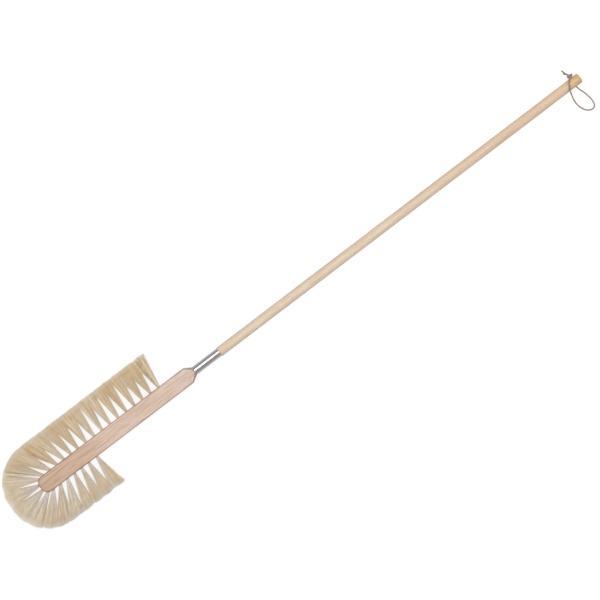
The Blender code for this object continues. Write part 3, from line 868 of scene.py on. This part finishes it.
def hair_paths(random, base, way, roots, tips, heights, held, warm_share, ragged):
    """Paths of one tuft's hairs and each hair's tone and warmth.

    roots and tips give the gap lines on both sides of the tuft, heights how far up them the gaps
    stay open, held how fully the hairs stay between them, warm_share how golden the tuft is and
    ragged how uneven its tips are.
    """
    across = np.array([way[1], -way[0]])
    if across @ (roots[1] - roots[0]) < 0:
        across = -across
    place, tip_place, clumps, nearest = hair_places(random)

    start = base + across * place[:, :1] * HAIR_ROOT_RADIUS
    closing = roots + (tips - roots) * heights[:, None]
    edge_start = base + across * np.array([[-1], [1]]) * HAIR_ROOT_RADIUS
    edge_way = unit(closing - edge_start)
    centre_way = unit(tips.mean(axis=0) - base)
    lateral = tip_place[:, :1]
    side = (lateral[:, 0] > 0).astype(int)
    width_share = np.abs(lateral)
    first_way = unit(centre_way * (1 - width_share) + edge_way[side] * width_share)
    crossing_end = trimmed(start, first_way)
    held_end = tips[0] + (tips[1] - tips[0]) * (lateral + 1) / 2
    aim = crossing_end + (held_end - crossing_end) * held[side][:, None]
    length = hair_lengths(random, lateral[:, 0], side, nearest, ragged)
    end = trimmed(start, unit(aim - start), length)

    low, high = AXIS_HEIGHT - HAIR_BOTTOM, HAIR_TOP - AXIS_HEIGHT
    start_z = place[:, 1] * HAIR_ROOT_RADIUS
    end_z = np.where(tip_place[:, 1] > 0, high, low) * tip_place[:, 1]

    share = np.array(HAIR_STEP_SHARES)[None, :, None]
    sway = hair_sway(random, share)
    run = (end - start)[:, None]
    first_run = first_way[:, None] * np.linalg.norm(run, axis=2, keepdims=True)
    flat = start[:, None] + run * share + (first_run - run) * (share - share**3)
    flat = flat + across * sway[..., :1]
    climb = (end_z - start_z)[:, None] * share[..., 0]
    height = AXIS_HEIGHT + start_z[:, None] + climb + sway[..., 1]
    height = np.clip(height, HAIR_BOTTOM, HAIR_TOP)
    outside = np.concatenate([flat, height[..., None]], axis=2)
    root_z = AXIS_HEIGHT + start_z[:, None]
    inside = np.concatenate([start - way * HAIR_ROOT_DEPTH, root_z], axis=1)
    paths = np.concatenate([inside[:, None], outside], axis=1)
    return paths, *hair_tones(random, clumps, nearest, warm_share)


def make_hair(material):
    """One piece of fine hairs for each tuft."""
    bases, ways = all_tufts()
    roots, tips = gap_lines(bases, ways)
    heights = np.array([1, *GAP_HEIGHT_SHARES, 1], float)
    heights[1:-1] += CLOSING_ALLOWANCE
    held = np.full(len(heights), HELD_SHARE)
    held[[0, -1]] = 1
    held[list(PARTED_GAPS)] = list(PARTED_GAPS.values())
    steps = len(HAIR_WIDTH_SHARES)
    along = np.repeat([0, *HAIR_STEP_SHARES], HAIR_SIDES)
    for index, (base, way) in enumerate(zip(bases, ways)):
        random = np.random.default_rng(HAIR_SEED + index)
        gaps = [values[index : index + 2] for values in (roots, tips, heights, held)]
        warm_share, ragged = np.interp(index, *WARM_SHARES), np.interp(index, *RAGGED_SHARES)
        paths, tone, warmth = hair_paths(random, base, way, *gaps, warm_share, ragged)
        widths = HAIR_WIDTH * random.uniform(*HAIR_WIDTH_RANGE, (len(paths), 1))
        rings = tube_rings(paths, widths * np.array(HAIR_WIDTH_SHARES), HAIR_SIDES)
        name = f"hair_{index + 1:02d}"
        mesh = tubes_mesh(name, rings)
        point_values(mesh, "tone", np.repeat(tone, steps * HAIR_SIDES))
        point_values(mesh, "warmth", np.repeat(warmth, steps * HAIR_SIDES))
        point_values(mesh, "along", np.tile(along, len(paths)))
        node_name = f"bristle_tuft_{index + 1:02d}"
        add_piece(name, mesh, material, "brush", "natural_bristle", node_name)


# Wood and metal


def block_plate():
    """The flat bar with its rounded tip, before its long edges are rounded."""
    plate_end = BLOCK_HIGH.x + BLOCK_EDGE_RADIUS + FIT_GAP
    half = BLOCK_WIDTH / 2
    outline = [
        (plate_end, half),
        *arc((CORNER_X, CORNER_Y), TIP_CORNER_RADIUS, 90, 180),
        *arc((CORNER_X, -CORNER_Y), TIP_CORNER_RADIUS, 180, 270),
        (plate_end, -half),
    ]
    shape = bmesh.new()
    low = [shape.verts.new((*point, 0)) for point in outline]
    high = [shape.verts.new((*point, BLOCK_THICKNESS)) for point in outline]
    shape.faces.new(low[::-1])
    shape.faces.new(high)
    for index in range(len(outline)):
        shape.faces.new((low[index - 1], low[index], high[index], high[index - 1]))
    return mesh_from(shape, "block")


def block_turning():
    """Profile of the turned cone and tenon, wide enough to leave the rest of the bar whole."""
    half = BLOCK_WIDTH / 2
    slope = (half - SLEEVE_RADIUS) / NECK_LENGTH
    full = math.hypot(half, AXIS_HEIGHT) + FIT_GAP
    tenon_end = BLOCK_HIGH.x
    rounding = SHOULDER_CHAMFER / 2
    centre = (NECK_X - rounding, SLEEVE_RADIUS - rounding)
    return [
        (tenon_end, 0),
        (tenon_end, TENON_RADIUS - TENON_CHAMFER),
        (tenon_end - TENON_CHAMFER, TENON_RADIUS),
        (NECK_X, TENON_RADIUS),
        *arc(centre, rounding, 0, NECK_ROUNDING_ARC, NECK_ROUNDING_STEPS),
        (NECK_X - (full - SLEEVE_RADIUS) / slope, full),
        (TIP_X - FIT_GAP, full),
        (TIP_X - FIT_GAP, 0),
    ]


def make_block(material):
    """The bar with its rounded tip, turned neck and tenon, and the holes of the tufts."""
    block = helper_object("block", block_plate())
    edges = block.modifiers.new("rounded_edges", "BEVEL")
    edges.width = BLOCK_EDGE_RADIUS
    edges.segments = BLOCK_EDGE_SEGMENTS
    edges.limit_method = "ANGLE"
    edges.angle_limit = math.radians(BLOCK_EDGE_LIMIT)

    neck = turned_object("neck", block_turning())
    holes = bpy.data.collections.new("tuft_holes")
    bpy.context.scene.collection.children.link(holes)
    for base, way in zip(*all_tufts()):
        place = (base[0], base[1], AXIS_HEIGHT)
        heading = math.atan2(way[1], way[0])
        ends = (-TUFT_HOLE_DEPTH, TUFT_CUTTER_OVERRUN)
        hole = drill("tuft_hole", TUFT_HOLE_RADIUS, *ends, place, heading)
        bpy.context.scene.collection.objects.unlink(hole)
        holes.objects.link(hole)
    boolean(block, "INTERSECT", neck)
    boolean(block, "DIFFERENCE", holes)
    mesh = finished_mesh(block, "planed_head_block", WOOD_SHARP_ANGLE)
    for helper in (neck, *holes.objects):
        bpy.data.objects.remove(helper)
    bpy.data.collections.remove(holes)
    add_piece("planed_head_block", mesh, material, "brush", "beech_block", "head_block")


def make_handle(material):
    """The round stick: tenon, chamfered shoulder, softly rounded end and cross hole."""
    round_x = HANDLE_END_X - HANDLE_END_DOME - HANDLE_END_RADIUS
    centre = (round_x, HANDLE_RADIUS - HANDLE_END_RADIUS)
    tenon_start = HANDLE_LOW.x
    profile = [
        (HANDLE_END_X, 0),
        (HANDLE_END_X - DOME_RING_DEPTH, DOME_RING_RADIUS),
        *arc(centre, HANDLE_END_RADIUS, 0, 90, HANDLE_END_STEPS),
        (THONG_HOLE_X + THONG_HOLE_SURROUND, HANDLE_RADIUS),
        (THONG_HOLE_X - THONG_HOLE_SURROUND, HANDLE_RADIUS),
        (SHOULDER_X + SHOULDER_CHAMFER, HANDLE_RADIUS),
        (SHOULDER_X, HANDLE_RADIUS - SHOULDER_CHAMFER),
        (SHOULDER_X, TENON_RADIUS),
        (tenon_start + TENON_CHAMFER, TENON_RADIUS),
        (tenon_start, TENON_RADIUS - TENON_CHAMFER),
        (tenon_start, 0),
    ]
    stick = turned_object("stick", profile)
    place = (THONG_HOLE_X, 0, AXIS_HEIGHT)
    ends = (-2 * HANDLE_RADIUS, 2 * HANDLE_RADIUS)
    hole = drill("cross_hole", THONG_HOLE_RADIUS, *ends, place, math.pi / 2)
    boolean(stick, "DIFFERENCE", hole)
    mesh = finished_mesh(stick, "turned_handle", WOOD_SHARP_ANGLE)
    bpy.data.objects.remove(hole)
    add_piece("turned_handle", mesh, material, "brush", "pale_handle", "handle")


def make_sleeve(material):
    """The tube, with its cut edges turned slightly inwards."""
    inner = SLEEVE_RADIUS - SLEEVE_WALL
    lip, lip_radius = SLEEVE_LIP, SLEEVE_RADIUS - SLEEVE_LIP
    start, end = SLEEVE_LOW.x, SLEEVE_HIGH.x
    profile = [
        (end, inner),
        *arc((end - lip, lip_radius), lip, 0, 90, SLEEVE_LIP_STEPS),
        *arc((start + lip, lip_radius), lip, 90, 180, SLEEVE_LIP_STEPS),
        (start, inner),
    ]
    tube = turned_object("sleeve", profile, closed=True)
    mesh = finished_mesh(tube, "rolled_sleeve", SLEEVE_SHARP_ANGLE)
    add_piece("rolled_sleeve", mesh, material, "brush", "polished_sleeve", "joining_sleeve")


def dress_anchors(material):
    """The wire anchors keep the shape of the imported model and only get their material."""
    for name, anchor in frame["nodes"].items():
        if name.startswith("wire_anchor"):
            anchor.data.materials.clear()
            anchor.data.materials.append(material)


# Thong


def lace_widths(random, count):
    """Widths along a lace that was cut and rolled by hand, with slow and quick changes."""
    places = np.linspace(0, 1, count)
    slow = 0
    for waves in LACE_WAVES:
        size, phase = random.normal(0, LACE_WAVE_SPREAD), random.uniform(*PHASES)
        slow = slow + size * np.sin(places * waves * 2 * math.pi + phase)
    return THONG_DIAMETER * (1 + slow + random.normal(0, LACE_FLAW_SPREAD, count))


def add_laces(name, routes, random, material, node_name):
    """A piece of the loop: round laces along routes that have the same number of points."""
    widths = np.stack([lace_widths(random, len(route)) for route in routes])
    mesh = tubes_mesh(name, tube_rings(np.stack(routes), widths, THONG_SIDES))
    return add_piece(name, mesh, material, "loop", "leather_thong", node_name)


def from_hole(points):
    return np.asarray(points) + (THONG_HOLE_X, 0, AXIS_HEIGHT)


def knot_routes():
    """The winding end, and the two tails from inside the turns."""
    angle = np.radians(np.linspace(KNOT_FIRST_ANGLE, KNOT_LAST_ANGLE, KNOT_WINDING_POINTS))
    travelled = (angle[0] - angle) / (2 * math.pi)
    middle = travelled[-1] / 2
    bulge = KNOT_BULGE * np.exp(-((travelled - KNOT_BULGE_PLACE) ** 2) / KNOT_BULGE_SPREAD)
    turns = np.stack(
        [
            (KNOT_RADII[0] + bulge) * np.cos(angle),
            KNOT_PITCH * (travelled - middle),
            KNOT_RADII[1] * np.sin(angle),
        ],
        axis=1,
    )
    tilt = np.array(Matrix.Rotation(KNOT_TILT, 3, "X"))
    turns = np.vstack([turns, turns[-1] * KNOT_END_SHARE + KNOT_END]) @ tilt.T + KNOT_CENTRE
    nearest = HANDLE_RADIUS + THONG_DIAMETER / 2 + KNOT_CLEARANCE
    turns[:, 1] = np.maximum(turns[:, 1], nearest)
    routes = ([*THONG_ROUTE[-2:], *turns], LONG_TAIL_ROUTE, SHORT_TAIL_ROUTE)
    return [smooth_route(route, KNOT_POINTS) for route in routes]


def make_thong(material):
    """The lace through the cross hole and round its loop, and the knot that closes it."""
    random = np.random.default_rng(THONG_SEED)
    path = from_hole(smooth_route(THONG_ROUTE, THONG_POINTS))
    thong = add_laces("leather_loop", [path], random, material, "hanging_thong")
    routes = [from_hole(route) for route in knot_routes()]
    knot = add_laces("leather_knot", routes, random, material, "thong_knot")


# Camera, light and floor


def make_camera():
    """A long lens straight above the brush, so that the view has hardly any perspective."""
    data = bpy.data.cameras.new("photo_camera")
    camera = helper_object("photo_camera", data)
    right = Vector((math.cos(PHOTO_HANDLE_ANGLE), -math.sin(PHOTO_HANDLE_ANGLE), 0))
    upward = Vector((math.sin(PHOTO_HANDLE_ANGLE), math.cos(PHOTO_HANDLE_ANGLE), 0))
    middle = PHOTO_PIXELS / 2
    from_left, from_top = PHOTO_BLOCK_PIXEL
    centre = right * (middle - from_left) - upward * (middle - from_top)
    camera.location = centre * PHOTO_METRES_PER_PIXEL + Vector((0, 0, CAMERA_HEIGHT))
    camera.rotation_euler = (0, 0, -PHOTO_HANDLE_ANGLE)
    distance = CAMERA_HEIGHT - AXIS_HEIGHT
    data.lens = data.sensor_width * distance / (PHOTO_PIXELS * PHOTO_METRES_PER_PIXEL)
    data.clip_end = 2 * CAMERA_HEIGHT
    bpy.context.scene.camera = camera


def add_sun(name, strength, lean, heading, width):
    lamp = bpy.data.lights.new(name, "SUN")
    lamp.energy = strength
    lamp.angle = math.radians(width)
    sun = helper_object(name, lamp)
    turn = Matrix.Rotation(math.radians(heading - 90), 4, "Z")
    sun.matrix_world = turn @ Matrix.Rotation(math.radians(-lean), 4, "X")


def make_light():
    """A long light above the brush, leaning to the side of the long bristles, a weak one beyond
    each end, and an even grey dome."""
    strip = bpy.data.lights.new("strip_light", "AREA")
    strip.shape = "RECTANGLE"
    strip.size, strip.size_y = STRIP_SIZE
    strip.energy = STRIP_WATTS
    lamp = helper_object("strip_light", strip)
    lean = math.radians(STRIP_LEAN)
    lamp.location = (STRIP_X, STRIP_DISTANCE * math.sin(lean), STRIP_DISTANCE * math.cos(lean))
    lamp.rotation_euler = (-lean, 0, 0)
    lamp.visible_camera = False
    for number, light in enumerate(END_LIGHTS):
        add_sun(f"end_light_{number + 1}", *light)

    world = bpy.data.worlds.new("studio")
    bpy.context.scene.world = world
    world.use_nodes = True
    world.node_tree.nodes["Background"].inputs["Color"].default_value = (*grey(DOME_GREY), 1)


def make_floor():
    """White to the camera apart from the brush's shadow, grey in reflections, and a paler grey for
    the light that it throws back."""
    material, tree = new_material("floor")
    rays = node(tree, "LightPath").outputs
    glossy = rays["Is Glossy Ray"]
    seen = maths(tree, "MAXIMUM", rays["Is Camera Ray"], rays["Is Transmission Ray"])
    mirrored = maths(tree, "MULTIPLY", glossy, FLOOR_MIRRORED_GLOW)
    strength = maths(tree, "MULTIPLY_ADD", seen, FLOOR_GLOW, mirrored)
    unseen = mixed(tree, glossy, grey(FLOOR_UNSEEN_GREY), grey(FLOOR_MIRRORED_GREY))
    colour = mixed(tree, seen, unseen, grey(FLOOR_SEEN_GREY))
    pale = node(tree, "BsdfDiffuse", {"Color": colour})
    white = node(tree, "Emission", {"Color": (*grey(1), 1), "Strength": strength})
    both = node(tree, "AddShader", {0: pale.outputs[0], 1: white.outputs[0]})
    node(tree, "OutputMaterial", {"Surface": both.outputs[0]})

    shape = bmesh.new()
    bmesh.ops.create_grid(shape, x_segments=1, y_segments=1, size=FLOOR_SIZE / 2)
    mesh = mesh_from(shape, "floor")
    mesh.materials.append(material)
    floor = helper_object("floor", mesh)
    floor.location.z = -FLOOR_DROP


make_camera()
make_thong(leather_material())
make_hair(hair_material())
make_block(wood_material("beech_block", **BLOCK_WOOD))
make_handle(wood_material("pale_handle", **HANDLE_WOOD))
make_sleeve(sleeve_material())
dress_anchors(wire_material())
make_light()
make_floor()
bpy.context.scene.view_settings.view_transform = "Standard"
